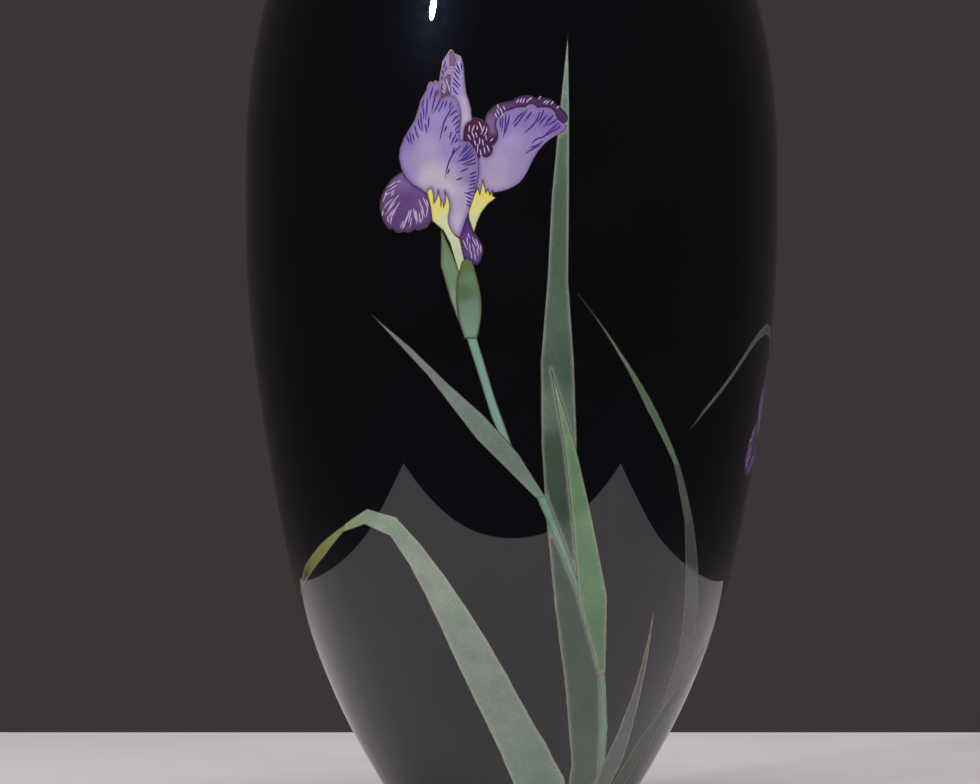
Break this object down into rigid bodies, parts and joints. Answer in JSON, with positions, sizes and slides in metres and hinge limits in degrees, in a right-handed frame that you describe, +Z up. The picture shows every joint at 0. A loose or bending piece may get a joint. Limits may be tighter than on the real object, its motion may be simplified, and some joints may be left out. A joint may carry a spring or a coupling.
{
  "type": "cloisonne vase",
  "caption": "Tall ovoid cloisonne vase in polished black enamel with iris flowers and long leaves, silver foot ring and mouth rim.",
  "frame": {"origin": "centre of the circle that the foot ring rests on", "axes": "+Z up along the vase's axis; the main iris faces -Y, +X is to its right"},
  "size_m": [0.17, 0.17, 0.362],
  "materials": {
    "copper": "spun copper sheet, satin, hidden under enamel",
    "silver_rim": "polished silver with light tarnish",
    "silver_wire": "fine ribbon wire ground flush with the enamel",
    "enamel_black": "mirror-polished black glass enamel",
    "enamel_counter": "glossy dark counter enamel, unpolished",
    "enamel_lavender": "polished pale lavender enamel with blended tones",
    "enamel_purple": "polished dark purple enamel",
    "enamel_violet_blue": "polished blue-violet enamel",
    "enamel_yellow": "polished yellow enamel running to pale green",
    "enamel_stem_green": "polished pale teal-green enamel",
    "enamel_leaf_green": "polished grey-green enamel"
  },
  "bodies": {
    "root": {"base_enamel": "enamel_counter", "beard_left": "enamel_yellow", "beard_left_side": "enamel_yellow", "beard_right": "enamel_yellow", "beard_right_side": "enamel_yellow", "copper_base_disc": "copper", "copper_lower_body": "copper", "copper_upper_body": "copper", "fall_left": "enamel_purple", "fall_left_side": "enamel_violet_blue", "foot_ring": "silver_rim", "ground_enamel": "enamel_black", "interior_enamel": "enamel_counter", "leaf_arch": "enamel_leaf_green", "leaf_arch_tip": "enamel_leaf_green", "leaf_bent_lower": "enamel_leaf_green", "leaf_bent_upper": "enamel_leaf_green", "leaf_edge": "enamel_leaf_green", "leaf_middle": "enamel_leaf_green", "leaf_narrow": "enamel_leaf_green", "leaf_side_short": "enamel_leaf_green", "leaf_side_tall": "enamel_leaf_green", "leaf_small": "enamel_leaf_green", "leaf_tall": "enamel_leaf_green", "leaf_thin": "enamel_leaf_green", "mouth_rim": "silver_rim", "petal_centre": "enamel_purple", "petal_centre_side": "enamel_violet_blue", "petal_right": "enamel_lavender", "petal_right_margin": "enamel_purple", "petal_right_margin_side": "enamel_violet_blue", "petal_right_side": "enamel_violet_blue", "petal_tip": "enamel_purple", "petal_tip_side": "enamel_violet_blue", "spathe_left": "enamel_stem_green", "spathe_left_side": "enamel_stem_green", "spathe_right": "enamel_stem_green", "spathe_right_side": "enamel_stem_green", "standard_front": "enamel_lavender", "standard_front_side": "enamel_violet_blue", "standard_rear": "enamel_lavender", "standard_rear_fold": "enamel_purple", "standard_rear_fold_side": "enamel_violet_blue", "standard_rear_side": "enamel_violet_blue", "stem_lower": "enamel_stem_green", "stem_middle": "enamel_stem_green", "stem_side": "enamel_stem_green", "stem_upper": "enamel_stem_green", "stem_upper_side": "enamel_stem_green", "wires_flower_side": "silver_wire", "wires_front": "silver_wire", "wires_leaf_arch": "silver_wire", "wires_leaves_right": "silver_wire", "wires_leaves_side": "silver_wire"}
  },
  "joints": []
}
